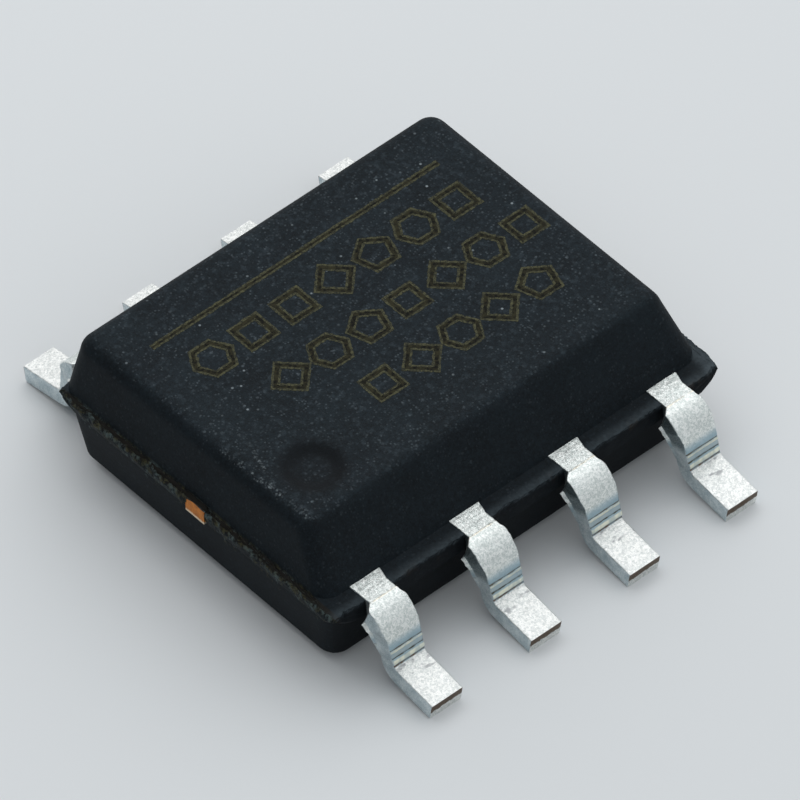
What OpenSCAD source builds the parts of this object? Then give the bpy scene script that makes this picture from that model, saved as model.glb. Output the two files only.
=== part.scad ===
// Switching regulator in an eight-lead small-outline package with a bare heat pad underneath.
// The origin lies on the board under the middle of the body. X runs along the rows of leads,
// with pin one at the front left, Y runs towards the back row, and Z is up.

/* [Body] */
// Distance from the middle of an outermost lead to the end of the body
end_margin = 0.545; // [0.5:0.005:1]
// Width of the body at the lead frame
body_width = 3.9; // [3.4:0.05:5]
// Height of the moulding above the leads
upper_height = 0.66; // [0.6:0.01:1]
// Height of the moulding below the leads
lower_height = 0.64; // [0.55:0.01:1]
// Air under the body when the toes touch the board
standoff = 0.1; // [0.05:0.01:0.25]
// Draft of the two upper ends, in degrees
end_draft = 12.5; // [4:0.5:15]
// Draft of the upper back side, in degrees
back_draft = 7.5; // [4:0.5:15]
// Draft of the lower half all round, in degrees
lower_draft = 8; // [4:1:15]
// How far the upper half stands back from the lower half all round
upper_setback = 0.02; // [0:0.005:0.04]
// How far the upper half sits towards the back row
upper_shift = 0.11; // [0:0.01:0.13]
// How far the pin-one bevel leans back over its height
bevel_run = 0.42; // [0.2:0.01:0.6]
// Rounding of the top edges
edge_radius = 0.19; // [0.06:0.01:0.2]
// Rounding of the upper half's upright corners
corner_radius = 0.2; // [0.2:0.01:0.3]
// Rounding of the bottom edges
bottom_radius = 0.09; // [0.05:0.01:0.12]
// Rounding of the lower half's upright corners
lower_corner_radius = 0.2; // [0.12:0.01:0.3]

/* [Ledge] */
// How far the ledge between the leads stands out from the sides
ledge_side = 0.11; // [0.05:0.01:0.2]
// How far the ledge stands out from the ends
ledge_end = 0.065; // [0.03:0.005:0.15]
// Rounding of the ledge's corners
ledge_radius = 0.06; // [0.03:0.01:0.3]
// How far the lower edge of the ledge draws back at the ends
ledge_undercut = 0.045; // [0:0.005:0.06]
// Height of the ledge's upright edge above the part that draws back
ledge_lip = 0.05; // [0.02:0.01:0.1]
// How far the ledge lies below the lead tops and above their undersides
ledge_relief = 0.01; // [0.005:0.001:0.03]

/* [Pin-one dimple] */
// Diameter of the dimple at the surface
dimple_diameter = 0.6; // [0.3:0.02:0.8]
// Slope of the dimple's wall, in degrees from level
dimple_slope = 32; // [20:1:60]
// Depth of the dimple
dimple_depth = 0.05; // [0.02:0.005:0.07]
// Distance of the dimple's centre from the left end of the body
dimple_from_end = 0.733; // [0.65:0.01:1]
// Distance of the dimple's centre from the front side of the body
dimple_from_front = 1.157; // [1.05:0.01:1.5]

/* [Lead frame] */
// Thickness of the copper sheet that leads and pad are stamped from
sheet = 0.2; // [0.15:0.005:0.25]
// Spacing of the leads along a row
lead_pitch = 1.27; // [1:0.01:1.3]
// Width of a lead
lead_width = 0.38; // [0.36:0.01:0.5]
// Width of a lead where it leaves the body
neck_width = 0.34; // [0.28:0.01:0.36]
// Straight run from the ledge to the first bend
shoulder = 0.035; // [0.02:0.005:0.3]
// Inside radius of the bend at the shoulder
bend_radius = 0.1; // [0.05:0.01:0.14]
// Inside radius of the bend at the heel
heel_radius = 0.04; // [0.02:0.01:0.14]
// Lean of the leg from upright, in degrees
leg_lean = 10; // [0:1:20]
// Tilt of the foot, toe down, in degrees
foot_tilt = 10; // [0:1:12]
// Length of the straight part of the foot
foot_length = 0.515; // [0.25:0.005:0.6]
// How far the sheared dam bar widens the lead on each side
nub = 0.04; // [0.01:0.005:0.05]
// Distance from the ledge to the start of the widened part
nub_gap = 0.08; // [0.02:0.01:0.1]
// Distance from the ledge to its end
nub_length = 0.28; // [0.2:0.01:0.4]
// Length over which it runs out again
nub_taper = 0.14; // [0.1:0.01:0.3]
// Width of the bonding finger inside the body
finger_width = 0.8; // [0.6:0.02:0.9]
// Length of the bonding finger's wide part
finger_length = 0.36; // [0.25:0.01:0.5]
// Length of the narrow part between the body's side and the finger
finger_neck = 0.24; // [0.15:0.01:0.4]

/* [Pad] */
// Length of the bare pad along the body
pad_length = 3.3; // [2.4:0.05:3.4]
// Width of the bare pad
pad_width = 2.4; // [1.8:0.05:2.5]
// Rounding of the pad's corners
pad_radius = 0.1; // [0.05:0.01:0.2]
// How far the pad stands proud of the underside
pad_proud = 0.02; // [0.005:0.005:0.04]
// Width of the tie bar at each end of the pad
tie_width = 0.27; // [0.2:0.01:0.5]
// Length of the tie bar's level part at the end of the body
tie_land = 0.22; // [0.15:0.01:0.35]
// How far the tie bar's cut end lies inside the ledge
tie_recess = 0.03; // [0.005:0.005:0.06]

/* [Silicon] */
// Length of the silicon chip
die_length = 1.9; // [1.5:0.05:2.2]
// Width of the silicon chip
die_width = 1.5; // [1.2:0.05:1.7]
// Thickness of the silicon chip
die_thickness = 0.25; // [0.15:0.01:0.3]
// Thickness of the glue under the silicon
glue_thickness = 0.03; // [0.02:0.005:0.05]
// How far the glue spreads beyond the silicon
glue_margin = 0.08; // [0.03:0.01:0.15]

/* [Bond wires] */
// Diameter of a bond wire
wire_diameter = 0.05; // [0.03:0.005:0.06]
// Diameter of the squashed ball on the silicon
ball_diameter = 0.11; // [0.08:0.005:0.14]
// Height of the squashed ball
ball_height = 0.03; // [0.02:0.005:0.05]
// Distance of the balls from the edge of the silicon
ball_inset = 0.1; // [0.08:0.01:0.2]
// Distance of the wire's far end from the tip of the finger
stitch_inset = 0.14; // [0.1:0.01:0.2]
// Radius of the bend at the top of a wire
loop_radius = 0.12; // [0.08:0.01:0.15]
// Slope of a wire's run down to its finger, in degrees
wire_slope = 15; // [10:1:20]
// Distance between the two wires of a doubled pin
wire_gap = 0.22; // [0.16:0.01:0.3]

/* [Hidden] */
pins_per_row = 4;
pins = 2 * pins_per_row;

// Each bond wire runs from a place along the silicon, as a share of its half length, to a pin. A doubled
// pin's wires land to either side of the finger's middle.
wire_pins = [1, 2, 2, 3, 3, 4, 5, 6, 7, 8];
wire_places = [-0.8, -0.45, -0.2, 0.2, 0.45, 0.8, 0.8, 0.3, -0.3, -0.8];
wire_offsets = [0, -0.5, 0.5, -0.5, 0.5, 0, 0, 0, 0, 0];

$fn = 48;
edge_facets = 32;
bend_steps = 8;
wire_sides = 8;
// Overshoot of a cutting shape past the face that it cuts
past = 0.1;

body_bottom = standoff;
sheet_bottom = body_bottom + lower_height;
sheet_middle = sheet_bottom + sheet / 2;
sheet_top = sheet_bottom + sheet;
body_top = sheet_top + upper_height;

half_length = (pins_per_row - 1) / 2 * lead_pitch + end_margin;
half_width = body_width / 2;
ledge_x = half_length + ledge_end;
ledge_y = half_width + ledge_side;
tie_end = ledge_x - tie_recess;

// A lead's middle line: level out of the body, round the shoulder, down the leg, round the heel and
// along the foot, as distances from the middle of the body and heights
bend_middle = bend_radius + sheet / 2;
heel_middle = heel_radius + sheet / 2;
shoulder_y = ledge_y + shoulder;
shoulder_centre = [shoulder_y, sheet_middle - bend_middle];
toe_z = sheet / 2 * cos(foot_tilt);
leg_top = shoulder_centre + bend_middle * [cos(leg_lean), sin(leg_lean)];
leg_drop = leg_top[1] - toe_z - foot_length * sin(foot_tilt)
    - heel_middle * (cos(foot_tilt) - sin(leg_lean));
leg_foot = leg_top + leg_drop * [tan(leg_lean), -1];
heel_centre = leg_foot + heel_middle * [cos(leg_lean), sin(leg_lean)];
toe = heel_centre + heel_middle * [-sin(foot_tilt), -cos(foot_tilt)]
    + foot_length * [cos(foot_tilt), -sin(foot_tilt)];
toe_y = toe[0] + sheet / 2 * sin(foot_tilt);

finger_back = half_width - finger_neck;
finger_tip = finger_back - finger_length;

// The pad, the glue and the silicon lie on each other
pad_bottom = body_bottom - pad_proud;
pad_top = pad_bottom + sheet;
die_bottom = pad_top + glue_thickness;
die_top = die_bottom + die_thickness;

// Points along an arc, from one angle to another
function arc(centre, radius, from, to) =
    [for (i = [0 : bend_steps]) let (a = from + (to - from) * i / bend_steps)
        centre + radius * [cos(a), sin(a)]];

function reversed(points) = [for (i = [len(points) - 1 : -1 : 0]) points[i]];

function lead_x(pin) = (pin <= pins_per_row ? 1 : -1)
    * (((pin - 1) % pins_per_row) - (pins_per_row - 1) / 2) * lead_pitch;
function lead_turn(pin) = pin <= pins_per_row ? 180 : 0;
function row_side(pin) = pin <= pins_per_row ? -1 : 1;

// How far a rounded edge draws in from the sharp corner of two faces, for a wall with this draft
function round_off(radius, draft) = radius * tan(45 - draft / 2);

// The four walls of a half come in this order, and their distances are measured from the origin
LEFT = 0;
RIGHT = 1;
FRONT = 2;
BACK = 3;
function side_of(wall) = wall == LEFT || wall == FRONT ? -1 : 1;

// The end of an upright corner: a flat disc with a rounded rim
module corner_dome(flat_radius, edge) {
    rotate_extrude($fn = edge_facets)
        polygon(concat([[0, 0]], arc([flat_radius, 0], edge, 0, 90), [[0, edge]]));
}

// One half of the moulding: a straight land through the lead frame, then drafted walls up to a smaller
// flat face, with one rounding for its edges and another for its upright corners
module drafted_half(walls, drafts, height, edge, corner) {
    land = sheet / 2;
    face = [for (i = [LEFT : BACK]) walls[i] - height * tan(drafts[i]) - round_off(edge, drafts[i])];
    flat_radius = max(corner - edge, 0);
    hull()
        for (i = [LEFT, RIGHT], j = [FRONT, BACK]) {
            translate([side_of(i) * (walls[i] - corner), side_of(j) * (walls[j] - corner), 0])
                cylinder(r = corner, h = land, $fn = edge_facets);
            translate([side_of(i) * (face[i] - flat_radius), side_of(j) * (face[j] - flat_radius), 0])
                translate([0, 0, land + height - edge])
                    corner_dome(flat_radius, edge);
        }
}

module upper_half() {
    bevel = atan(bevel_run / upper_height);
    end = half_length - upper_setback;
    side = half_width - upper_setback;
    translate([0, 0, sheet_middle])
        drafted_half(
            [end, end, side - upper_shift, side + upper_shift],
            [end_draft, end_draft, bevel, back_draft],
            upper_height, edge_radius, corner_radius);
}

module lower_half() {
    translate([0, 0, sheet_middle])
        mirror([0, 0, 1])
            drafted_half(
                [half_length, half_length, half_width, half_width],
                [lower_draft, lower_draft, lower_draft, lower_draft],
                lower_height, bottom_radius, lower_corner_radius);
}

module rounded_plate(length, width, radius, height) {
    linear_extrude(height) {
        square([length - 2 * radius, width], center = true);
        square([length, width - 2 * radius], center = true);
        for (x = [-1, 1], y = [-1, 1])
            translate([x * (length / 2 - radius), y * (width / 2 - radius)])
                circle(radius);
    }
}

// The layer between the halves fills the lead frame's openings up to the dam bars. It reaches furthest at
// its upper edge and slopes back below that at the ends.
module ledge() {
    height = sheet - 2 * ledge_relief;
    translate([0, 0, sheet_bottom + ledge_relief])
        hull() {
            rounded_plate(2 * (ledge_x - ledge_undercut), 2 * ledge_y, ledge_radius, height);
            translate([0, 0, height - ledge_lip])
                rounded_plate(2 * ledge_x, 2 * ledge_y, ledge_radius, ledge_lip);
        }
}

// Opens the ledge in front of the tie bars' cut ends
module tie_notches() {
    for (turn = [0, 180])
        rotate(turn)
            translate([tie_end, -tie_width / 2, sheet_bottom])
                cube([tie_recess + past, tie_width, sheet]);
}

module pin_one_dimple() {
    floor_radius = dimple_diameter / 2 - dimple_depth / tan(dimple_slope);
    slope_past = past / tan(dimple_slope);
    translate([-half_length + dimple_from_end, -half_width + dimple_from_front, body_top - dimple_depth])
        cylinder(r1 = floor_radius, r2 = dimple_diameter / 2 + slope_past, h = dimple_depth + past);
}

// The moulding takes the form of everything that it was moulded around
module mold_body() {
    color("#26272a")
        difference() {
            union() {
                upper_half();
                lower_half();
                ledge();
            }
            pin_one_dimple();
            tie_notches();
            pad_shape();
            glue_shape();
            die_shape();
            for (pin = [1 : pins])
                lead_shape(pin);
            for (wire = [1 : len(wire_pins)])
                wire_shape(wire);
        }
}

// One face of a lead's side view, at a distance above its middle line
function lead_face(offset) = concat(
    [[finger_tip, sheet_middle + offset]],
    arc(shoulder_centre, bend_middle + offset, 90, leg_lean),
    arc(heel_centre, heel_middle - offset, 180 + leg_lean, 270 - foot_tilt),
    [toe + offset * [sin(foot_tilt), cos(foot_tilt)]]
);

// Half of a lead's outline from above, from the finger's tip to the toe
function lead_edge() = [
    [finger_width / 2, finger_tip],
    [finger_width / 2, finger_back - (finger_width - neck_width) / 2],
    [neck_width / 2, finger_back],
    [neck_width / 2, ledge_y + nub_gap],
    [lead_width / 2 + nub, ledge_y + nub_gap + nub],
    [lead_width / 2 + nub, ledge_y + nub_length],
    [lead_width / 2, ledge_y + nub_length + nub_taper],
    [lead_width / 2, toe_y + past]
];

module lead_shape(pin) {
    side = concat(lead_face(sheet / 2), reversed(lead_face(-sheet / 2)));
    outline = concat(lead_edge(), reversed([for (p = lead_edge()) [-p[0], p[1]]]));
    translate([lead_x(pin), 0, 0])
        rotate(lead_turn(pin))
            intersection() {
                rotate([90, 0, 90])
                    linear_extrude(finger_width, center = true)
                        polygon(side);
                linear_extrude(body_top)
                    polygon(outline);
            }
}

module lead(pin) {
    color("#c9cdd0")
        lead_shape(pin);
}

// A tie bar's side view: level at the end of the body, then down to the pad
module tie_bar() {
    ramp_top = tie_end - tie_land;
    ramp_foot = pad_length / 2;
    slope = atan((sheet_bottom - pad_bottom) / (ramp_top - ramp_foot));
    crease = sheet * tan(slope / 2);
    rotate([90, 0, 0])
        linear_extrude(tie_width, center = true)
            polygon([
                [ramp_foot - pad_radius, pad_bottom],
                [ramp_foot + crease, pad_bottom],
                [ramp_top + crease, sheet_bottom],
                [tie_end, sheet_bottom],
                [tie_end, sheet_top],
                [ramp_top, sheet_top],
                [ramp_foot, pad_top],
                [ramp_foot - pad_radius, pad_top]
            ]);
}

module pad_shape() {
    translate([0, 0, pad_bottom])
        rounded_plate(pad_length, pad_width, pad_radius, sheet);
    for (turn = [0, 180])
        rotate(turn)
            tie_bar();
}

module die_pad() {
    color("#b5713f")
        pad_shape();
}

module glue_shape() {
    translate([0, 0, pad_top])
        rounded_plate(die_length + 2 * glue_margin, die_width + 2 * glue_margin, glue_margin, glue_thickness);
}

module die_attach() {
    color("#8d9094")
        glue_shape();
}

module die_shape() {
    translate([-die_length / 2, -die_width / 2, die_bottom])
        cube([die_length, die_width, die_thickness]);
}

module die() {
    color("#4a4f5c")
        die_shape();
}

// A wire's side view: up from its ball, over the bend at the top and down the run. Each entry holds the
// distance along the span, the height and the heading there.
function wire_path(span) =
    let (
        bend_end = loop_radius * (1 + sin(wire_slope)),
        neck_top = sheet_top - loop_radius * cos(wire_slope) + (span - bend_end) * tan(wire_slope)
    )
    concat(
        [[0, die_top, 90]],
        [for (i = [0 : bend_steps]) let (heading = 90 - (90 + wire_slope) * i / bend_steps)
            [loop_radius * (1 - sin(heading)), neck_top + loop_radius * cos(heading), heading]]
    );

// Rings of points round the wire, square to its heading, and a last one level on top of the finger
function wire_rings(span) =
    let (r = wire_diameter / 2, turns = [for (i = [0 : wire_sides - 1]) 360 * i / wire_sides])
    concat(
        [for (p = wire_path(span), a = turns)
            [p[0] - r * cos(a) * sin(p[2]), r * sin(a), p[1] + r * cos(a) * cos(p[2])]],
        [for (a = turns) [span + r * cos(a) / sin(wire_slope), r * sin(a), sheet_top]]
    );

// Triangles over the rings, and a flat end at each
function ring_faces(rings, sides) = concat(
    [[for (i = [sides - 1 : -1 : 0]) i]],
    [for (k = [0 : rings - 2], i = [0 : sides - 1]) let (j = (i + 1) % sides)
        [k * sides + i, (k + 1) * sides + j, (k + 1) * sides + i]],
    [for (k = [0 : rings - 2], i = [0 : sides - 1]) let (j = (i + 1) % sides)
        [k * sides + i, k * sides + j, (k + 1) * sides + j]],
    [[for (i = [0 : sides - 1]) (rings - 1) * sides + i]]
);

module wire_shape(wire) {
    pin = wire_pins[wire - 1];
    side = row_side(pin);
    start = [wire_places[wire - 1] * die_length / 2, side * (die_width / 2 - ball_inset)];
    end = [lead_x(pin) + wire_offsets[wire - 1] * wire_gap, side * (finger_tip + stitch_inset)];
    span = norm(end - start);
    rings = len(wire_path(span)) + 1;
    translate([start[0], start[1], 0])
        rotate(atan2(end[1] - start[1], end[0] - start[0])) {
            translate([0, 0, die_top])
                cylinder(d = ball_diameter, h = ball_height);
            polyhedron(wire_rings(span), ring_faces(rings, wire_sides));
        }
}

module bond_wire(wire) {
    color("#c27a45")
        wire_shape(wire);
}

mold_body();
die_pad();
die_attach();
die();
for (pin = [1 : pins])
    lead(pin);
for (wire = [1 : len(wire_pins)])
    bond_wire(wire);
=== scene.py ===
import math

import bpy
from mathutils import Matrix, Vector, noise


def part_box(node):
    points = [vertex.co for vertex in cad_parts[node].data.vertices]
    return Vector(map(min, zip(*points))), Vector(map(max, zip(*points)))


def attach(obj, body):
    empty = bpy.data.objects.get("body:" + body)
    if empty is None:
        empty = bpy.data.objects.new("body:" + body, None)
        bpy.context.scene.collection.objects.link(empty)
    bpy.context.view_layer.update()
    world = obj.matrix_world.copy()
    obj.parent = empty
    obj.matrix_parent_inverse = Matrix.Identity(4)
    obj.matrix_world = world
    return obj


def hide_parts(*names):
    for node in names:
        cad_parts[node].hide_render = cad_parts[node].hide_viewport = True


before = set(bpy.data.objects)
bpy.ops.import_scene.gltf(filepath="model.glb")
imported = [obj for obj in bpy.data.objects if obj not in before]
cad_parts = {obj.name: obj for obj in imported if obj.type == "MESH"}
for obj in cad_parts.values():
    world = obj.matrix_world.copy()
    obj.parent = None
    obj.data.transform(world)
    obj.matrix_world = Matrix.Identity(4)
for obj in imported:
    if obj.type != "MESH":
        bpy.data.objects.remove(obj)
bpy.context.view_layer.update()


# Heat pad: the lowered paddle of the lead frame, stamped from copper sheet, with a tie bar at each end.
# Its underside is bare and tin plated for solder. The tie bars were cut through after moulding, so their
# ends show raw copper, with tin dragged along the lower edge by the blade.
MM = 0.001  # the frame is in metres, and sizes here are in millimetres


class Socket:
    """A node's output. Arithmetic on it adds Math nodes, and node() adds any other node to its tree."""

    def __init__(self, tree, output=None):
        self.tree = tree
        self.output = output

    def node(self, kind, settings, sockets, output=0):
        made = self.tree.nodes.new("ShaderNode" + kind)
        for name, value in settings.items():
            setattr(made, name, value)
        for name, value in sockets.items():
            target = made.inputs[name]
            if isinstance(value, Socket):
                self.tree.links.new(value.output, target)
            elif target.type == "RGBA":
                target.default_value = (*value, 1)
            else:
                target.default_value = value
        return Socket(self.tree, made.outputs[output] if made.outputs else None)

    def beside(self, output):
        """Another output of the same node."""
        return Socket(self.tree, self.output.node.outputs[output])

    def math(self, operation, *terms):
        return self.node("Math", {"operation": operation}, dict(enumerate(terms)))

    def __add__(self, other):
        return self.math("ADD", self, other)

    def __radd__(self, other):
        return self.math("ADD", other, self)

    def __sub__(self, other):
        return self.math("SUBTRACT", self, other)

    def __rsub__(self, other):
        return self.math("SUBTRACT", other, self)

    def __mul__(self, other):
        return self.math("MULTIPLY", self, other)

    def __rmul__(self, other):
        return self.math("MULTIPLY", other, self)

    def __abs__(self):
        return self.math("ABSOLUTE", self)

    def rise(self, low, high):
        """Goes smoothly from 0 to 1 as the value goes from low to high."""
        return self.node("MapRange", {"interpolation_type": "SMOOTHSTEP"},
                         {"Value": self, "From Min": low, "From Max": high})

    def mix(self, first, second):
        """A colour that goes from the first to the second as the value goes from 0 to 1."""
        return self.node("Mix", {"data_type": "RGBA"}, {0: self, 6: first, 7: second}, 2)


def new_finish(name):
    """An empty node material, and the socket that its nodes start from."""
    material = bpy.data.materials.new(name)
    material.use_nodes = True
    material.node_tree.nodes.clear()
    return material, Socket(material.node_tree)


def close_finish(start, sockets):
    """Ends a material in one Principled shader with these sockets."""
    shader = start.node("BsdfPrincipled", {}, sockets)
    start.node("OutputMaterial", {}, {"Surface": shader})


def colour(red, green, blue):
    """The linear colour of three everyday values from 0 to 255."""
    shares = [value / 255 for value in (red, green, blue)]
    return tuple(s / 12.92 if s <= 0.04 else ((s + 0.055) / 1.055) ** 2.4 for s in shares)


def place(start, stretch=(1, 1, 1)):
    """Where a point is on the object, in millimetres, drawn out or pressed along the axes."""
    metres = start.node("TexCoord", {}, {}, "Object")
    scale = [s / MM for s in stretch]
    return start.node("VectorMath", {"operation": "MULTIPLY"}, {0: metres, 1: scale})


def axes(point):
    """The three coordinates of a point."""
    x = point.node("SeparateXYZ", {}, {0: point}, "X")
    return x, x.beside("Y"), x.beside("Z")


def grain(point, per_mm, detail=2.0, roughness=0.55):
    """Cloudy noise from 0 to 1 with so many grains in a millimetre."""
    sockets = {"Vector": point, "Scale": per_mm, "Detail": detail, "Roughness": roughness}
    return point.node("TexNoise", {}, sockets)


def cells(point, per_mm):
    """The distance to the nearest of so many scattered points in a millimetre, in cell widths."""
    return point.node("TexVoronoi", {}, {"Vector": point, "Scale": per_mm}, "Distance")


def bump(height, depth):
    """The normal of a surface that this height raises by up to the depth in millimetres."""
    return height.node("Bump", {}, {"Height": height, "Distance": depth * MM})


def put_on(material, *nodes):
    """Gives solids of the frame this material."""
    for node in nodes:
        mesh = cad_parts[node].data
        mesh.materials.clear()
        mesh.materials.append(material)


TIN = colour(226, 229, 227)
RAW_COPPER = colour(208, 128, 42)
DRAGGED_TIN = colour(230, 212, 184)
tie_reach = 2.4  # beyond this, from the middle, only the cut ends of the tie bars are left
drag_height = 0.775  # up to about this height the blade dragged tin over the cut

pad_metal, start = new_finish("pad_metal")
point = place(start)
x, y, z = axes(point)
rolled = grain(place(start, (0.12, 1, 1)), 55)
torn = grain(place(start, (1, 1, 0.5)), 22, 3.0)
cut_end = abs(x).rise(tie_reach, tie_reach + 0.01)
dragged = 1 - (z + 0.05 * torn).rise(drag_height, drag_height + 0.03)
raw = dragged.mix(torn.rise(0.3, 0.7).mix(RAW_COPPER, colour(176, 102, 32)), DRAGGED_TIN)
close_finish(start, {
    "Base Color": cut_end.mix(rolled.mix(TIN, colour(196, 200, 199)), raw),
    "Metallic": 1 - 0.3 * cut_end,
    "Roughness": 0.34 + 0.2 * rolled,
    "Normal": bump(rolled + torn * cut_end, 0.004),
})
put_on(pad_metal, "die_pad")


# Die glue: silver-filled epoxy under the silicon, pressed out to a thin layer and cured. It is dull grey
# with bright flakes.
glue, start = new_finish("die_glue")
flakes = 1 - cells(place(start), 45).rise(0.15, 0.45)
close_finish(start, {
    "Base Color": flakes.mix(colour(138, 139, 141), colour(206, 207, 208)),
    "Metallic": 0.7 * flakes,
    "Roughness": 0.6 - 0.25 * flakes,
    "Normal": bump(flakes, 0.002),
})
put_on(glue, "die_attach")


# Silicon: a chip sawn from a polished wafer, with blocks of circuit on its face under a clear coat. It sits
# in the glue on the pad.
silicon, start = new_finish("silicon")
point = place(start)
blocks = start.node("TexVoronoi", {"distance": "CHEBYCHEV"}, {"Vector": point, "Scale": 7.0}, "Color")
block_tone = start.node("SeparateColor", {}, {0: blocks})
tracks = start.node("TexWave", {}, {"Vector": point, "Scale": 14.0, "Distortion": 0.6}, 1)
face = axes(point)[2].rise(0.55, 0.559)
circuit = (0.7 * block_tone + 0.3 * tracks).mix(colour(74, 84, 104), colour(132, 118, 128))
close_finish(start, {
    "Base Color": face.mix(colour(98, 100, 106), circuit),
    "Roughness": 0.22 + 0.2 * block_tone,
    "Metallic": 0.35,
    "Coat Weight": 0.5 * face,
})
put_on(silicon, "die")


# Bond wires: drawn bare copper, balled by a spark on the silicon and wedged flat onto the fingers of the
# leads. The moulding holds each arch where it was bent.
wire_copper, start = new_finish("wire_copper")
drawn = grain(place(start, (1, 0.2, 1)), 60)
close_finish(start, {
    "Base Color": drawn.mix(colour(214, 142, 92), colour(176, 104, 62)),
    "Metallic": 1.0,
    "Roughness": 0.25 + 0.2 * drawn,
})
put_on(wire_copper, *[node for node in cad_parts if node.startswith("bond_wire")])


# Leads: copper strips of the lead frame, tin plated, then cut free and pressed to a gull wing. The blade that
# took away the dam bar between them came down a little to the right, so each has a torn stub on its left.
# The press leaves stripes across the lower leg, and the last cut bares copper at the top of the toe's end.
sheet = 0.2
inside_bend = 0.1
inside_heel = 0.04
shoulder_run = 0.035
lean = math.radians(10)
tilt = math.radians(10)
foot_length = 0.515
half_lead = 0.196
edge_wobble = 0.003
finger_half = 0.4
finger_length = 0.36
lead_edge = 0.013
crease_run = 0.05
# Left and right: half the neck's width, how far the stub stands out on the plated face and under it, and how
# far the burr along its lower edge stands out beyond that
neck_half = {-1: 0.19, 1: 0.152}
stub_top = {-1: 0.072, 1: -0.02}
stub_under = {-1: 0.095, 1: 0.012}
stub_burr = {-1: 0.028, 1: 0.012}
burr_from, burr_full = 0.83, 0.93  # shares of the sheet's thickness, from the plated face down
stub_kept_top, stub_kept_under = 0.45, 0.8  # shares of the stub that are left where it is torn thin
# Runs past the ledge at which the stub starts, is full, begins to draw back, is torn thin and is gone
stub_start = {-1: 0.035, 1: 0.065}
stub_full = {-1: 0.09, 1: 0.115}
stub_back, stub_thin, stub_gone = 0.235, 0.34, 0.66
neck_root, neck_narrow = -0.26, -0.1  # inside the moulding, where the neck starts and is at its narrowest
sheet_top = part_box("lead_1")[1].z / MM
finger_tip = -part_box("lead_1")[1].y / MM
ledge_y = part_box("mold_body")[1].y / MM
finger_back = finger_tip + finger_length
bend = inside_bend + sheet / 2
heel_bend = inside_heel + sheet / 2
sheet_middle = sheet_top - sheet / 2
shoulder_centre = Vector((ledge_y + shoulder_run, sheet_middle - bend))
leg_way = Vector((math.cos(lean), math.sin(lean)))
foot_way = Vector((math.cos(tilt), -math.sin(tilt)))
foot_up = Vector((math.sin(tilt), math.cos(tilt)))
leg_top = shoulder_centre + bend * leg_way
leg_drop = leg_top.y - sheet / 2 * foot_up.y + foot_length * foot_way.y - heel_bend * (foot_up.y - leg_way.y)
leg_foot = leg_top + leg_drop * Vector((math.tan(lean), -1))
heel_centre = leg_foot + heel_bend * leg_way
heel_end = heel_centre - heel_bend * foot_up
heel_inside = heel_centre - inside_heel * leg_way
toe = heel_end + foot_length * foot_way
# Stripes of the press across the lower leg: height above the heel, half width, how far they stand up, and
# their colour
press_stripes = ((0.2, 0.008, -0.007, colour(108, 102, 86)), (0.176, 0.013, 0.004, colour(228, 228, 212)),
                 (0.134, 0.026, 0.0, colour(180, 194, 198)), (0.095, 0.01, -0.011, colour(92, 92, 80)),
                 (0.048, 0.026, 0.006, colour(250, 250, 232)), (0.0, 0.011, -0.01, colour(118, 94, 74)))


def between(first, last, steps):
    """So many steps from the first value towards the last, without the last."""
    return [first + (last - first) * i / steps for i in range(steps)]


def along(corners, run):
    """The value at a run on a line through corners of run and value."""
    for (x0, y0), (x1, y1) in zip(corners, corners[1:]):
        if run <= x1:
            return y0 + (y1 - y0) * max(0.0, (run - x0) / (x1 - x0))
    return corners[-1][1]


def lead_line():
    """Points along a lead's middle line, each with the way that its upper face looks and the run past the
    ledge."""
    near_ledge = ledge_y - 0.25
    flat = between(finger_tip, near_ledge, 16) + between(near_ledge, shoulder_centre.x, 36)
    line = [(Vector((u, sheet_middle)), Vector((0, 1))) for u in flat]
    for angle in between(math.pi / 2, lean, 48):
        way = Vector((math.cos(angle), math.sin(angle)))
        line.append((shoulder_centre + bend * way, way))
    line += [(leg_top.lerp(leg_foot, t), leg_way) for t in between(0, 1, 72)]
    for angle in between(math.pi + lean, 1.5 * math.pi - tilt, 20):
        way = Vector((math.cos(angle), math.sin(angle)))
        line.append((heel_centre + heel_bend * way, -way))
    line += [(heel_end.lerp(toe, t), foot_up) for t in between(0, 1, 36)] + [(toe, foot_up)]
    run = finger_tip - ledge_y
    before = line[0][0]
    measured = []
    for centre, up in line:
        run += (centre - before).length
        measured.append((centre, up, run))
        before = centre
    return measured


def half_width_at(run, rise, side):
    """Half of a lead's width towards one side, at a run past the ledge and a rise above its middle line."""
    under = 0.5 - rise / sheet
    stub = stub_top[side] + (stub_under[side] - stub_top[side]) * under
    stub += stub_burr[side] * min(1.0, max(0.0, (under - burr_from) / (burr_full - burr_from)))
    neck = neck_half[side]
    finger_end = finger_back - ledge_y
    thinned = half_lead + (stub_kept_top + (stub_kept_under - stub_kept_top) * under) * stub
    return along(((finger_tip - ledge_y, finger_half), (finger_end - finger_half + half_lead, finger_half),
                  (finger_end, half_lead), (neck_root, half_lead), (neck_narrow, neck),
                  (stub_start[side] * (1 - 0.5 * under), neck), (stub_full[side], half_lead + stub),
                  (stub_back, half_lead + stub), (stub_thin, thinned), (stub_gone, half_lead)), run)


def lead_section():
    """Steps round a lead's cross-section: shares of its flat half width and of its edge's rounding, and its
    height."""
    flat, side, corner = 20, 8, 4
    top = sheet / 2
    half = [(2 * i / flat - 1, 0.0, top) for i in range(flat)]
    for i in range(corner + 1):
        a = math.pi / 2 * (1 - i / corner)
        half.append((1.0, math.cos(a), top - (1 - math.sin(a)) * lead_edge))
    half += [(1.0, 1.0, (top - lead_edge) * (1 - 2 * i / side)) for i in range(1, side)]
    for i in range(corner):
        a = math.pi / 2 * i / corner
        half.append((1.0, math.cos(a), -top + (1 - math.sin(a)) * lead_edge))
    return half + [(-w, out, -rise) for w, out, rise in half]


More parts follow.
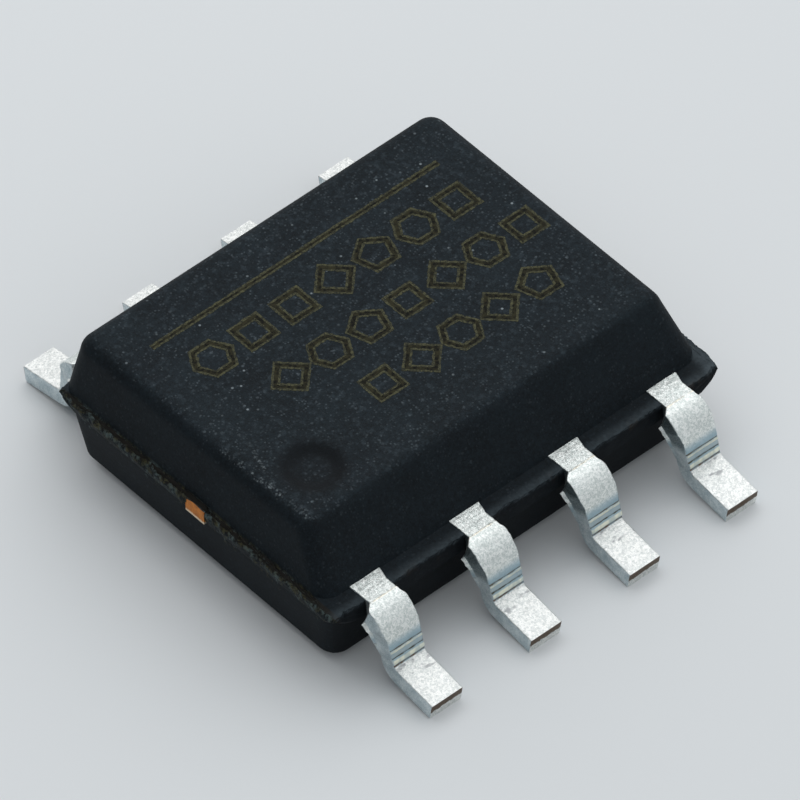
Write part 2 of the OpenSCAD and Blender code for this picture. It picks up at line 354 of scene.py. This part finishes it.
def press_mark(u, z, run, seed):
    """How far the press left the upper face of a lead raised or dented."""
    dents = 0.003 * noise.noise((u * 6, z * 6, seed))
    scratches = 0.0015 * noise.noise((u * 30, z * 30, seed))
    height = dents + scratches
    if u > heel_end.x:
        return -abs(height)
    ragged = 0.006 * noise.noise((seed * 3, 7.7, 0.5))
    for middle, half, rise, _ in press_stripes:
        height += rise * math.exp(-((z + ragged - heel_inside.y - middle) / half) ** 2)
    return height + 0.003 * math.exp(-((run - crease_run) / 0.01) ** 2)


def skin(rings):
    """Quads between closed rings of as many points each, with both ends closed."""
    count = len(rings[0])
    faces = [tuple(reversed(range(count)))]
    for k in range(len(rings) - 1):
        for i in range(count):
            j = (i + 1) % count
            faces.append((k * count + i, k * count + j, (k + 1) * count + j, (k + 1) * count + i))
    faces.append(tuple((len(rings) - 1) * count + i for i in range(count)))
    return faces


def add_piece(name, points, faces, *materials):
    """A mesh from points in millimetres, smooth except where its faces meet at a sharp angle."""
    mesh = bpy.data.meshes.new(name)
    mesh.from_pydata([Vector(p) * MM for p in points], [], faces)
    for material in materials:
        mesh.materials.append(material)
    mesh.shade_smooth()
    mesh.set_sharp_from_angle(angle=math.radians(45))
    piece = bpy.data.objects.new(name, mesh)
    bpy.context.scene.collection.objects.link(piece)
    return piece


def gull_wing(pin):
    """One lead, on the row and at the place of its solid."""
    low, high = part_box(f"lead_{pin}")
    middle = (low.x + high.x) / 2 / MM
    row = 1 if high.y > 0 else -1
    section = lead_section()
    rings = []
    for centre, up, run in lead_line():
        ring = []
        for w, out, rise in section:
            spot = centre + rise * up
            side = math.copysign(1, w)
            tear = 2 * edge_wobble if 0 < run < stub_thin else edge_wobble
            wobble = tear * noise.noise((spot.x * 26, spot.y * 26, pin * 3.1 + side))
            half = half_width_at(run, rise, -row * side) + wobble
            across = w * (half - lead_edge) + side * out * lead_edge
            if rise > sheet / 2 - 0.6 * lead_edge:
                spot = spot + press_mark(spot.x, spot.y, run, pin * 7.3 + across * 5) * up
            ring.append((middle - row * across, row * spot.x, spot.y))
        rings.append(ring)
    return [p for ring in rings for p in ring], skin(rings)


def crystals(point, per_mm):
    """A height in millimetres that tilts each crystal of a plated face its own way, and a tone for each."""
    seed = point.node("TexVoronoi", {}, {"Vector": point, "Scale": per_mm}, "Position")
    way = point.node("VectorMath", {"operation": "SUBTRACT"}, {0: seed.beside("Color"), 1: (0.5, 0.5, 0.5)})
    arm = point.node("VectorMath", {"operation": "SUBTRACT"}, {0: point, 1: seed})
    height = point.node("VectorMath", {"operation": "DOT_PRODUCT"}, {0: way, 1: arm}, "Value")
    return height, point.node("SeparateColor", {}, {0: seed.beside("Color")}, "Blue")


crest_low, crest_high = 0.55, 0.67  # heights over which the pressed leg goes over to the rough shoulder
scuff_thins, scuff_ends = 2.6, 2.72  # distances from the middle of the body
side_shade_weak_x, side_shade_full_x = -1.95, -1.6  # painted shade on the leads' upper sides is weaker at the left end of the rows

tin, start = new_finish("tin_plate")
point = place(start)
x, y, z = axes(point)
out = abs(y)
coarse_tilt, coarse_tone = crystals(point, 46)
fine_tilt, fine_tone = crystals(point, 92)
fine = grain(point, 60, 3.0, 0.6)
cloud = grain(point, 9, 3.0)
looks = start.node("SeparateXYZ", {}, {0: start.node("NewGeometry", {}, {}, "True Normal")}, "X")
side = abs(looks).rise(0.6, 0.9)
past_heel = out.rise(heel_inside.x - 0.004, heel_inside.x + 0.004)
foot = past_heel * (1 - z.rise(heel_inside.y - 0.012, heel_inside.y - 0.003))
crest = z.rise(crest_low, crest_high)
sparkle = (0.5 * coarse_tone + 0.5 * fine_tone).rise(0.15, 0.85)
rough_tin = sparkle.mix(colour(204, 211, 208), colour(248, 250, 247))
# The pressed leg's tin is painted blue-grey and darker than the shoulder: a painted reflection of pale blue
# surroundings in front
pressed_tin_painted_reflection = (0.8 * cloud + 0.2 * sparkle).mix(colour(142, 168, 180), colour(182, 202, 210))
near_heel = 1 - out.rise(scuff_thins, scuff_ends)
scuff = foot * near_heel * grain(place(start, (1, 2, 1)), 7, 3.0).rise(0.56, 0.68)
bright_tin = sparkle.mix(colour(208, 211, 209), colour(246, 246, 243))
foot_tin = (0.8 * scuff).mix(bright_tin, colour(150, 151, 154))
plate = foot.mix(crest.mix(pressed_tin_painted_reflection, rough_tin), foot_tin)
upper_face = z.rise(sheet_top - 0.04, sheet_top - 0.02)
crease = (1 - abs(out - ledge_y - crease_run).rise(0.006, 0.014)) * upper_face
striped = (0.7 * crease * cloud.rise(0.35, 0.6)).mix(plate, colour(255, 246, 226))
above_heel = z + 0.012 * grain(point, 18) - 0.006 - heel_inside.y
worn = 0.5 + 0.5 * grain(place(start, (1, 0.2, 0.2)), 12, 2.0).rise(0.35, 0.6)
for middle, half, _, shade in press_stripes:
    band = (1 - abs(above_heel - middle).rise(0.6 * half, 1.3 * half)) * (1 - foot)
    striped = (worn * band).mix(striped, shade)
# The upper sides of the leads, torn at the dam bar, are painted dark teal as painted shade, less on the first
# lead's left side
torn_side_painted_shade = side * z.rise(0.5, 0.64) * (0.3 + 0.7 * x.rise(side_shade_weak_x, side_shade_full_x))
sheared_tin = (0.5 * fine + 0.5 * cloud).rise(0.3, 0.7).mix(colour(172, 189, 195), colour(232, 239, 240))
sheared = side.mix(striped, sheared_tin)
torn_tin_painted_shade = fine.rise(0.3, 0.7).mix(colour(66, 80, 82), colour(128, 142, 144))
cut_plate = (0.8 * torn_side_painted_shade).mix(sheared, torn_tin_painted_shade)
along_foot = (out - toe.x) * foot_way.x + (z - toe.y) * foot_way.y
above_foot = (out - toe.x) * foot_up.x + (z - toe.y) * foot_up.y
ragged_foot = above_foot + 0.06 * grain(point, 25) - 0.022
below_plating = 1 - above_foot.rise(sheet / 2 - 0.008, sheet / 2 - 0.003)
bare = along_foot.rise(-0.004, -0.002) * ragged_foot.rise(0.0, 0.015) * below_plating
close_finish(start, {
    "Base Color": bare.mix(cut_plate, fine.mix(colour(50, 38, 26), colour(98, 74, 48))),
    "Metallic": 1 - 0.5 * bare,
    "Roughness": 0.36 + 0.12 * cloud,
    "Normal": bump(0.13 * coarse_tilt + 0.14 * fine_tilt + 0.001 * fine, 1.0),
})
for pin in range(1, 9):
    lead = add_piece(f"gull_wing_{pin}", *gull_wing(pin), tin)
    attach(lead, "root")
    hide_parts(f"lead_{pin}")


# Body: black epoxy with a glassy filler, pressed in one shot round the lead frame, the silicon and the
# wires. The walls have draft, the pin-one side a wide bevel, and all edges are soft. Between the halves
# the compound has run out to the dam bars and set as a ledge, which was broken off rough when they went.
body_low, body_high = (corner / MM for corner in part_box("mold_body"))
ledge_x = body_high.x
ledge_end_reach, ledge_side_reach = 0.065, 0.11
half_length = ledge_x - ledge_end_reach
half_body = ledge_y - ledge_side_reach
upper_height = body_high.z - sheet_top
sheet_bottom = sheet_top - sheet
lower_height = sheet_bottom - body_low.z
upper_setback = 0.02
upper_shift = 0.11
bevel_run = 0.42
bevel_draft = math.atan(bevel_run / upper_height)
end_draft = math.radians(12.5)
back_draft = math.radians(7.5)
lower_draft = math.radians(8)
edge_radius = 0.19
corner_radius = 0.2
bottom_radius = 0.09
lower_corner_radius = 0.2
ledge_relief = 0.01
ledge_undercut = 0.055
ledge_lip = 0.05
lip_rounding = 0.016
lip_wave = 0.22
ledge_root_radius = 0.3
ledge_tip_radius = 0.05
tie_half = 0.135
tie_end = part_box("die_pad")[1].x / MM
tie_proud = 0.005  # the copper's end stands this much out of the compound, and the lip over it as much more
tie_lip_share = 0.87  # the lip starts at this share of the ledge's height
tie_cover = ledge_relief + 0.008
tie_cover_half = tie_half + 0.03
tie_cover_root = 0.004
side_rough = 0.65  # the long sides of the ledge broke this much as rough as its ends
chip_reach = 0.22  # two corners of the ledge, front right and back left, have broken off this far
chip_depth = 0.075
mark_room = 0.003  # the top lies this much below the solid's, so that the marks on it stay inside
dimple_radius = 0.36
dimple_floor = 0.16
dimple_depth = 0.05
dimple_from_end, dimple_from_front = 0.735, 1.085
dimple_centre = Vector((dimple_from_end - half_length, dimple_from_front - half_body))
lower = [half_body, half_length, half_body, half_length]
upper_end = half_length - upper_setback
upper_side = half_body - upper_setback
upper = [upper_side - upper_shift, upper_end, upper_side + upper_shift, upper_end]
steps_x, steps_y, steps_corner = 220, 176, 8


def ring_round(z, walls, radius):
    """A rounded rectangle at a height: its points, and the way that each looks. Walls are the distances
    of the front, right, back and left side."""
    front, right, back, left = walls
    corners = (Vector((-left, -front)), Vector((right, -front)), Vector((right, back)), Vector((-left, back)))
    points = []
    for k, steps in enumerate((steps_x, steps_y, steps_x, steps_y)):
        way = Matrix.Rotation(k * math.pi / 2, 2) @ Vector((1, 0))
        look = Matrix.Rotation(k * math.pi / 2, 2) @ Vector((0, -1))
        first, last = corners[k] + radius * way, corners[(k + 1) % 4] - radius * way
        points += [(*first.lerp(last, i / steps), z, look) for i in range(steps + 1)]
        for i in range(1, steps_corner):
            turned = Matrix.Rotation(i / steps_corner * math.pi / 2, 2) @ look
            points.append((*(last - radius * look + radius * turned), z, turned))
    return points


def drafted(walls, drafts, height, edge, corner, rise):
    """A half's four wall distances and the radius of its corners at a rise above its land."""
    above = rise - (height - edge)
    reach = math.sqrt(max(0.0, edge ** 2 - above ** 2)) if above > 0 else edge
    result = []
    for wall, draft in zip(walls, drafts):
        if above <= edge * math.sin(draft):
            result.append(wall - rise * math.tan(draft))
        else:
            face = wall - height * math.tan(draft) - edge * math.tan(math.pi / 4 - draft / 2)
            result.append(face + reach)
    return result, corner - edge + reach


def half_levels(height, edge):
    """Rises above the land, close together round the edge."""
    wall_steps, edge_steps = 6, 15
    wall = between(0.0, height - edge, wall_steps)
    turns = [math.pi / 2 * i / edge_steps for i in range(edge_steps + 1)]
    return wall + [height - edge + edge * math.sin(turn) for turn in turns]


def broken(x, y, z):
    """How far the broken edge of the ledge falls short at a point."""
    wave = 0.5 + 0.5 * noise.noise((x * 2.3, y * 2.3, 4.1))
    chips = max(0.0, noise.noise((x * 6, y * 6, 1.7 + z * 2)) - 0.1)
    teeth = abs(noise.noise((x * 19, y * 19, z * 12)))
    crumbs = abs(noise.noise((x * 38, y * 38, z * 40)))
    from_tip = (Vector((abs(x), -y * math.copysign(1, x))) - Vector((ledge_x, ledge_y))).length
    corner = max(0.0, 1 - from_tip / chip_reach) * (0.7 + 0.6 * teeth)
    return 0.01 * wave + 0.07 * chips + 0.03 * teeth + 0.02 * crumbs + chip_depth * corner


def ledge_rings():
    """Rings up the ledge's edge, which draws back below its lip at the ends, and in over its top to the foot
    of the upper half."""
    low, high = sheet_bottom + ledge_relief, sheet_top - ledge_relief
    lip_share = 1 - ledge_lip / (high - low)
    up_the_edge = (0.0, 0.08, 0.2, 0.35, 0.5, 0.62, 0.72, 0.84, 0.91, 0.96, 1.0)
    over_the_top = (0.1, 0.22, 0.36, 0.52, 0.7, 0.86)
    rings = []
    for share in up_the_edge:
        drawn = ledge_undercut * max(0.0, 1 - share / lip_share)
        rounding = lip_rounding * max(0.0, share - 0.8) / 0.2
        walls = [ledge_y, ledge_x - drawn, ledge_y, ledge_x - drawn]
        radius = ledge_root_radius + (ledge_tip_radius - ledge_root_radius) * min(1.0, share / lip_share)
        ring = []
        for x, y, z, way in ring_round(low + (high - low) * share, walls, radius):
            z += lip_wave * noise.noise((x * 7, y * 7, 3.3)) * share * (1 - share) * way.x ** 2
            rough = max(side_rough + (1 - side_rough) * way.x ** 2, float(abs(x) > half_length - 0.1))
            short = broken(x, y, z) * rough * share + rounding
            if abs(x) > half_length and share < tie_lip_share and abs(y) < tie_half:
                short = abs(x) - min(abs(x), tie_end - tie_proud)
            if abs(x) > half_length and share > tie_lip_share and abs(y) < tie_cover_half:
                short = abs(x) - tie_end - tie_proud
                z += tie_cover
            ring.append((x - short * way.x, y - short * way.y, z, way))
        rings.append(ring)
    edge = rings[-1]
    foot = ring_round(high, upper, corner_radius)
    for share in over_the_top:
        ring = []
        for (x0, y0, _, way), (x1, y1, _, _) in zip(edge, foot):
            x, y = x0 + (x1 - x0) * share, y0 + (y1 - y0) * share
            pits = 0.014 * abs(noise.noise((x * 19, y * 19, 0.3)))
            pits += 0.008 * abs(noise.noise((x * 47, y * 47, 2.3)))
            over_tie = abs(y) < tie_cover_half and abs(x) > upper_end
            ring.append((x, y, high + (tie_cover if over_tie else -pits * (0.25 + 0.75 * way.x ** 2)), way))
        rings.append(ring)
    raised = sheet_top + tie_cover_root
    rings.append([(x, y, raised if abs(way.x) == 1 and abs(y) < tie_cover_half else z, way)
                  for x, y, z, way in foot])
    return rings


def body_rings():
    """Rings of the moulding from the underside up to the edge of the flat top."""
    drafts = [bevel_draft, end_draft, back_draft, end_draft]
    below = [lower_draft] * 4
    rings = []
    for rise in reversed(half_levels(lower_height, bottom_radius)):
        walls, radius = drafted(lower, below, lower_height, bottom_radius, lower_corner_radius, rise)
        rings.append(ring_round(sheet_bottom - rise, walls, radius))
    rings.append(ring_round(sheet_bottom + ledge_relief, lower, lower_corner_radius))
    rings += ledge_rings()
    for rise in half_levels(upper_height, edge_radius)[1:]:
        walls, radius = drafted(upper, drafts, upper_height, edge_radius, corner_radius, rise)
        rings.append(ring_round(sheet_top + rise - mark_room * rise / upper_height, walls, radius))
    return rings


def dimple(x, y):
    """How deep the pin-one dimple is at a point of the top."""
    share = (dimple_radius - (Vector((x, y)) - dimple_centre).length) / (dimple_radius - dimple_floor)
    share = min(1.0, max(0.0, share))
    return dimple_depth * share * share * (3 - 2 * share)


def body_mesh():
    """The moulding's points and faces: the rings, the underside and a grid over the top."""
    rings = body_rings()
    points = [p[:3] for ring in rings for p in ring]
    count = len(rings[0])
    faces = skin(rings)[:-1]
    last = (len(rings) - 1) * count
    right = steps_x + steps_corner
    back = right + steps_y + steps_corner
    left = back + right
    grid = {}
    for i in range(steps_x + 1):
        grid[i, 0] = last + i
        grid[i, steps_y] = last + back + steps_x - i
    for j in range(1, steps_y):
        grid[0, j] = last + left + steps_y - j
        grid[steps_x, j] = last + right + j
    for i in range(1, steps_x):
        for j in range(1, steps_y):
            x = points[grid[i, 0]][0]
            y = points[grid[0, j]][1]
            grid[i, j] = len(points)
            points.append((x, y, body_high.z - mark_room - dimple(x, y)))
    for i in range(steps_x):
        for j in range(steps_y):
            faces.append((grid[i, j], grid[i + 1, j], grid[i + 1, j + 1], grid[i, j + 1]))
    # The four small corners between the grid and the last ring
    for first, stop in ((steps_x, right + 2), (right + steps_y - 1, back + 1), (back + steps_x, left + 2),
                        (left + steps_y - 1, count + 1)):
        faces.append(tuple(last + n % count for n in range(first, stop)))
    return points, faces


def scattered(point, per_mm, share, size):
    """Soft dots on so many cells in a millimetre: one share of the cells has a dot, of up to this size, and
    the dots differ in strength."""
    spread = cells(point, per_mm)
    pick = point.node("SeparateColor", {}, {0: spread.beside("Color")})
    strength = pick.rise(1 - share, 1.0)
    return strength * (1 - spread.rise(0.3 * size, size))


ledge_upper = sheet_top - ledge_relief
chipped_corner = half_length - 0.17

epoxy, start = new_finish("epoxy")
point = place(start)
x, y, z = axes(point)
fine = grain(point, 62, 2.0, 0.6)
mottle = grain(point, 24, 3.0, 0.65)
haze = grain(point, 1.8, 3.0)
level = point.node("VectorMath", {"operation": "MULTIPLY"}, {0: point, 1: (1, 1, 0)})
from_dimple = level.node("VectorMath", {"operation": "DISTANCE"}, {0: level, 1: (*dimple_centre, 0)}, "Value")
filled = z + dimple_depth * (1 - from_dimple.rise(dimple_floor, dimple_radius))
top = filled.rise(body_high.z - 0.045, body_high.z - 0.01)
uneven = (0.5 * fine + 0.5 * mottle + 0.3 * haze - 0.15).rise(0.28, 0.72)
blotches = grain(point, 13, 3.0, 0.7).rise(0.5, 0.72) * top
tone = (0.22 * blotches).mix(uneven.mix(colour(9, 15, 19), colour(28, 38, 44)), colour(74, 86, 94))
in_dimple = (0.25 + 0.75 * from_dimple.rise(0.08, 0.24)) * (1 - from_dimple.rise(0.26, 0.41)) * top
patchy = 0.35 + 0.65 * grain(point, 4.5, 3.0).rise(0.38, 0.62)
sway = {0: mottle.beside("Color"), 1: (0.04, 0.04, 0.04), 2: point}
shaken = start.node("VectorMath", {"operation": "MULTIPLY_ADD"}, sway)
specks = 0.75 * scattered(point, 34, 0.5, 0.5) + 0.8 * scattered(shaken, 18, 0.4, 0.4)
# The filler specks are painted dimmer below the flat top, as painted shade
filler_dimmed_by_shade = specks * patchy * (0.25 + 0.75 * top) * (1 - in_dimple)
# Painted shade darkens the walls and edges below the flat top; the dimple is darker too, most on its slope
painted_shade_and_dimple = (0.8 * in_dimple + 0.35 * (1 - top)).mix(tone, colour(7, 11, 15))
glassy = (0.5 * filler_dimmed_by_shade).mix(painted_shade_and_dimple, colour(100, 110, 116))
flecks = scattered(point, 13, 0.1, 0.24) * top * (1 - in_dimple)
# Dust of the filler, rubbed along the left edge of the top and in a short streak beside it
from_streak = abs(x + 2.0 - 0.3 * (y + 0.29))
streak = (1 - from_streak.rise(0.006, 0.035)) * (1 - abs(y + 0.55).rise(0.25, 0.45))
from_edge = abs(x + 2.2 + 0.03 * (y + 0.6))
rubbed_edge = (1 - from_edge.rise(0.008, 0.045)) * (1 - abs(y + 0.7).rise(0.58, 0.7))
clumps = grain(point, 9, 3.0, 0.65).rise(0.42, 0.62)
grit = scattered(shaken, 40, 0.7, 0.7) + 0.5 * mottle.rise(0.5, 0.7)
dust = grit * clumps * (0.6 * streak + rubbed_edge)
dusty = (0.75 * flecks + 0.6 * dust).mix(glassy, colour(150, 160, 164))
# The ledge: baked brown at the left end, with painted light and painted shade, and crumbs on its ends
ends = abs(x).rise(half_length - 0.03, half_length - 0.01)
below_wall = 1 - z.rise(ledge_upper + 0.022, ledge_upper + 0.038)
on_ledge = z.rise(ledge_upper - 0.045, ledge_upper - 0.015)
brown = ends * on_ledge * below_wall * (1 - x.rise(0.0, 1.0))
looks = start.node("SeparateXYZ", {}, {0: start.node("NewGeometry", {}, {}, "True Normal")}, "X")
outer = abs(y).rise(half_body - 0.06, ledge_y - 0.03) * looks.beside("Z").rise(0.3, 0.7)
ledge_face = ends * abs(looks).rise(0.45, 0.8) * z.rise(0.6, 0.66) * (1 - z.rise(0.95, 0.96))
hanging = grain(place(start, (1, 1, 0.5)), 22, 4.0, 0.75) + 0.16 * grain(point, 5) + 0.6 * (z - 1.03)
crumbs = ledge_face * hanging.rise(0.43, 0.58)
crumb_tone = grain(point, 8, 2.0).rise(0.4, 0.6).mix(colour(72, 70, 48), colour(84, 98, 98))
stain = grain(point, 6, 3.0).rise(0.56, 0.68) * z.rise(0.8, 0.9) * below_wall
stained = (0.2 * stain * abs(y).rise(half_body, ledge_y)).mix(dusty, colour(84, 62, 38))
baked = (0.7 * brown).mix(stained, mottle.mix(colour(15, 13, 10), colour(40, 34, 25)))
# Painted light on the ledge's top, at the right corner and along its outer edge
flat_ledge = on_ledge * (1 - z.rise(ledge_upper + 0.015, ledge_upper + 0.025))
ledge_painted_light = (x.rise(chipped_corner, chipped_corner + 0.12) + 0.7 * outer) * flat_ledge
with_ledge_painted_light = (0.75 * ledge_painted_light).mix(baked, mottle.mix(colour(34, 42, 46), colour(84, 94, 100)))
# Painted shade on the faces that look front or back below the ledge's top
below_ledge = abs(looks.beside("Y")).rise(0.5, 0.8) * (1 - z.rise(ledge_upper - 0.03, ledge_upper))
with_painted_shade_below = (0.6 * below_ledge).mix(with_ledge_painted_light, colour(5, 7, 11))
relief = (0.7 * fine + 0.8 * mottle) * (0.5 + 0.5 * top) + 0.3 * filler_dimmed_by_shade + 0.9 * crumbs
close_finish(start, {
    "Base Color": (0.75 * crumbs).mix(with_painted_shade_below, crumb_tone),
    "Roughness": 0.56 + 0.16 * fine,
    "Specular IOR Level": 0.12,
    "Normal": bump(relief, 0.004),
})

body = add_piece("moulded_body", *body_mesh(), epoxy)
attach(body, "root")
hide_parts("mold_body")


# Laser marks: the laser burns a dark dotted core into the epoxy and leaves an olive rim of baked filler on
# either side. A rule runs along the back edge, and rows of plain outlines stand before it.
rim_finish, start = new_finish("baked_filler")
point = place(start)
fine = 0.5 * grain(point, 34, 2.0) + 0.5 * grain(point, 80, 2.0)
close_finish(start, {
    "Base Color": fine.rise(0.36, 0.66).mix(colour(30, 32, 28), colour(86, 85, 60)),
    "Roughness": 0.6 + 0.2 * fine,
    "Specular IOR Level": 0.15,
    "Normal": bump(fine, 0.003),
})
burn, start = new_finish("burnt_core")
point = place(start)
dots = cells(point, 22)
burnt = (0.6 * dots + 0.5 * grain(point, 50)).rise(0.3, 0.8)
close_finish(start, {
    "Base Color": burnt.mix(colour(9, 10, 9), colour(50, 48, 34)),
    "Roughness": 0.7 + 0.2 * dots,
    "Specular IOR Level": 0.12,
})
core_half = 0.02
rim_width = 0.024
rule_core_half = 0.013
rule_rim = 0.024
mark_height = body_high.z - mark_room / 2
mark_sag = 0.0006
mark_depth = 0.004
edge_shake = 0.011


def stroke(corners, closed, core, rim_out):
    """A laser stroke along a line of corners, as points, faces and finish numbers: a thin strip with a rim
    on either side of its core."""
    section = ((-core - rim_out, mark_depth), (-core - rim_out, 0), (-core, mark_sag), (core, mark_sag),
               (core + rim_out, 0), (core + rim_out, mark_depth))
    count, sides = len(corners), len(section)
    points = []
    for i, corner in enumerate(corners):
        before = corners[i - 1] if closed or i else corner
        after = corners[(i + 1) % count] if closed or i < count - 1 else corner
        first = (corner - before).normalized() if i or closed else (after - corner).normalized()
        second = (after - corner).normalized() if closed or i < count - 1 else first
        way = (first + second).normalized()
        across = Vector((way.y, -way.x)) / max(0.5, way.dot(first))
        for k, (offset, depth) in enumerate(section):
            shake = edge_shake * noise.noise((corner.x * 29, corner.y * 29, k * 5.3))
            spot = corner + (offset + shake) * across
            points.append((spot.x, spot.y, mark_height - depth))
    faces, finishes = [], []
    for i in range(count if closed else count - 1):
        j = (i + 1) % count
        for k in range(sides):
            m = (k + 1) % sides
            faces.append((sides * i + m, sides * j + m, sides * j + k, sides * i + k))
            finishes.append(int(k == 2))
    if not closed:
        faces += [tuple(range(sides)), tuple(sides * count - 1 - k for k in range(sides))]
        finishes += [0, 0]
    return points, faces, finishes


def outline(sides, turn, size):
    """The corners of a regular outline, with points along its sides."""
    corners = [size * Vector((math.cos(a), math.sin(a)))
               for a in [turn + 2 * math.pi * i / sides for i in range(sides)]]
    return [a.lerp(b, t) for a, b in zip(corners, corners[1:] + corners[:1]) for t in between(0, 1, 12)]


def laser_marks():
    """The rule and the rows of outlines on the top, as points, faces and finish numbers."""
    rule_y, rule_half, rule_steps = 1.34, 1.85, 180
    square, diamond, hexagon, pentagon = (4, 0.25), (4, 0.0), (6, 0.0), (5, 0.5)
    # Each row: its distance from the middle, where its first outline is, the step, the size and the outlines
    rows = ((0.84, -1.5, 0.52, 0.21, (hexagon, square, square, diamond, pentagon, hexagon, square)),
            (0.16, -1.1, 0.5, 0.2, (diamond, hexagon, pentagon, square, diamond, hexagon, square)),
            (-0.5, -0.5, 0.5, 0.2, (square, diamond, hexagon, diamond, pentagon)))
    rule = [Vector((x, rule_y)) for x in between(-rule_half, rule_half, rule_steps)]
    strokes = [stroke(rule, False, rule_core_half, rule_rim)]
    for row_y, first_x, step, size, shapes in rows:
        for n, (sides, turn) in enumerate(shapes):
            middle = Vector((first_x + n * step, row_y))
            line = [middle + p for p in outline(sides, turn * math.pi, size)]
            strokes.append(stroke(line, True, core_half, rim_width))
    points, faces, finishes = [], [], []
    for more, more_faces, more_finishes in strokes:
        faces += [tuple(len(points) + i for i in face) for face in more_faces]
        points += more
        finishes += more_finishes
    return points, faces, finishes


points, faces, finishes = laser_marks()
marks = add_piece("laser_marks", points, faces, rim_finish, burn)
marks.data.polygons.foreach_set("material_index", finishes)
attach(marks, "root")


# Floor: a plain pale matt sheet that the part stands on and that catches its shadow. Seen from below it is
# clear, so that the underside shows.
floor_half = 500
floor_finish, start = new_finish("floor")
matt = start.node("BsdfPrincipled", {}, {"Base Color": colour(226, 228, 229), "Roughness": 0.8,
                                         "Specular IOR Level": 0.1})
clear = start.node("BsdfTransparent", {}, {})
behind = start.node("NewGeometry", {}, {}, "Backfacing")
shown = start.node("MixShader", {}, {0: behind, 1: matt, 2: clear})
start.node("OutputMaterial", {}, {"Surface": shown})
corners = [(-floor_half, -floor_half, 0), (floor_half, -floor_half, 0), (floor_half, floor_half, 0),
           (-floor_half, floor_half, 0)]
floor = add_piece("floor", corners, [(0, 1, 2, 3)], floor_finish)


# Light: one large soft lamp high behind the right of the part, and a sky that is bright overhead, to the
# right and towards the front, and dim on the other sides, as in a room lit from above.
lamp_way = Vector((0.32, 0.6, 0.73)).normalized()
lamp_distance = 70
lamp_size = 120
lamp_watts = 0.034
sky_strength = 0.98
lamp_data = bpy.data.lights.new("soft_lamp", "AREA")
lamp_data.shape = "SQUARE"
lamp_data.size = lamp_size * MM
lamp_data.energy = lamp_watts
lamp = bpy.data.objects.new("soft_lamp", lamp_data)
lamp.location = lamp_way * lamp_distance * MM
lamp.rotation_euler = lamp_way.to_track_quat("Z", "Y").to_euler()
bpy.context.scene.collection.objects.link(lamp)

world = bpy.data.worlds.new("sky")
world.use_nodes = True
world.node_tree.nodes.clear()
sky = Socket(world.node_tree)
right, away, up = axes(sky.node("TexCoord", {}, {}, "Generated"))
open_sky = (0.85 * up + 0.3 * right - 0.25 * away + 0.1).rise(0.0, 1.0)
tone = open_sky.mix(colour(96, 101, 105), colour(236, 240, 243))
light = sky.node("Background", {}, {"Color": tone, "Strength": sky_strength})
sky.node("OutputWorld", {}, {"Surface": light})
bpy.context.scene.world = world
bpy.context.scene.view_settings.view_transform = "Standard"


# Camera: a long lens that looks down on the front left corner from two hands' widths away. The part's origin
# lies a little off the middle of the picture.
azimuth = math.radians(-40.726)
elevation = math.radians(47.157)
roll = math.radians(-0.96)
camera_distance = 184.27
lens = 855.49
sensor = 36.0
image_size = 800
origin_pixel = (389.74, 441.89)
turn = (Matrix.Rotation(azimuth, 3, "Z") @ Matrix.Rotation(math.pi / 2 - elevation, 3, "X")
        @ Matrix.Rotation(roll, 3, "Z"))
pixel = camera_distance * sensor / lens / image_size
off_centre = Vector((image_size / 2 - origin_pixel[0], origin_pixel[1] - image_size / 2, 0))
aim = turn @ (off_centre * pixel)
camera_data = bpy.data.cameras.new("camera")
camera_data.lens = lens
camera_data.sensor_width = sensor
camera_data.clip_start = 0.001
camera = bpy.data.objects.new("camera", camera_data)
camera.matrix_world = Matrix.Translation((aim + turn @ Vector((0, 0, camera_distance))) * MM) @ turn.to_4x4()
bpy.context.scene.collection.objects.link(camera)
bpy.context.scene.camera = camera
